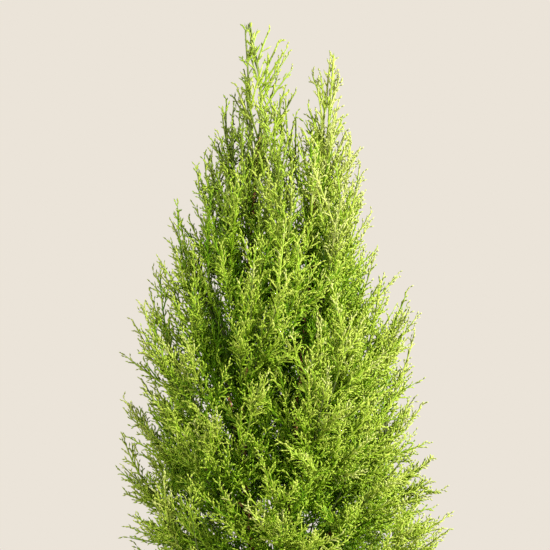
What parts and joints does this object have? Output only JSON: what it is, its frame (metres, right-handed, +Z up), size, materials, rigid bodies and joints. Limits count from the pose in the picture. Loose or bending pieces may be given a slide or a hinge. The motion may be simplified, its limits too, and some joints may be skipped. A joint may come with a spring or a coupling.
{
  "type": "lemon cypress tree",
  "caption": "Young upright conifer with a short trunk, twin leaders, upswept boughs and feathery lime-green foliage in separate masses.",
  "frame": {"origin": "centre of the flat cut under the trunk, at ground level", "axes": "+Z up along the tree, +X to the right in the picture, -Y towards the viewer"},
  "size_m": [0.3307, 0.3014, 0.7601],
  "materials": {
    "bark": "rough, reddish brown, finely fissured",
    "foliage": "matt scale-like needles, lime yellow at the tips and darker green inside"
  },
  "bodies": {
    "root": {"bough_10": "bark", "bough_12": "bark", "bough_15": "bark", "bough_16": "bark", "bough_19": "bark", "bough_20": "bark", "bough_21": "bark", "bough_23": "bark", "bough_24": "bark", "bough_25": "bark", "bough_28": "bark", "foliage_01": "foliage", "foliage_02": "foliage", "foliage_03": "foliage", "foliage_04": "foliage", "foliage_05": "foliage", "foliage_06": "foliage", "foliage_07": "foliage", "foliage_08": "foliage", "foliage_09": "foliage", "foliage_10": "foliage", "foliage_11": "foliage", "foliage_12": "foliage", "foliage_13": "foliage", "foliage_14": "foliage", "foliage_15": "foliage", "foliage_16": "foliage", "foliage_17": "foliage", "foliage_18": "foliage", "foliage_19": "foliage", "foliage_20": "foliage", "foliage_21": "foliage", "foliage_22": "foliage", "foliage_23": "foliage", "foliage_24": "foliage", "foliage_25": "foliage", "foliage_26": "foliage", "foliage_27": "foliage", "foliage_28": "foliage", "foliage_inner_left_1": "foliage", "foliage_inner_left_2": "foliage", "foliage_inner_left_3": "foliage", "foliage_inner_right_1": "foliage", "foliage_inner_right_2": "foliage", "foliage_inner_right_3": "foliage", "foliage_left_1": "foliage", "foliage_left_2": "foliage", "foliage_left_3": "foliage", "foliage_left_4": "foliage", "foliage_left_top": "foliage", "foliage_right_1": "foliage", "foliage_right_2": "foliage", "foliage_right_3": "foliage", "foliage_right_4": "foliage", "foliage_right_top": "foliage", "leader_left": "bark", "leader_right": "bark", "trunk": "bark"}
  },
  "joints": []
}
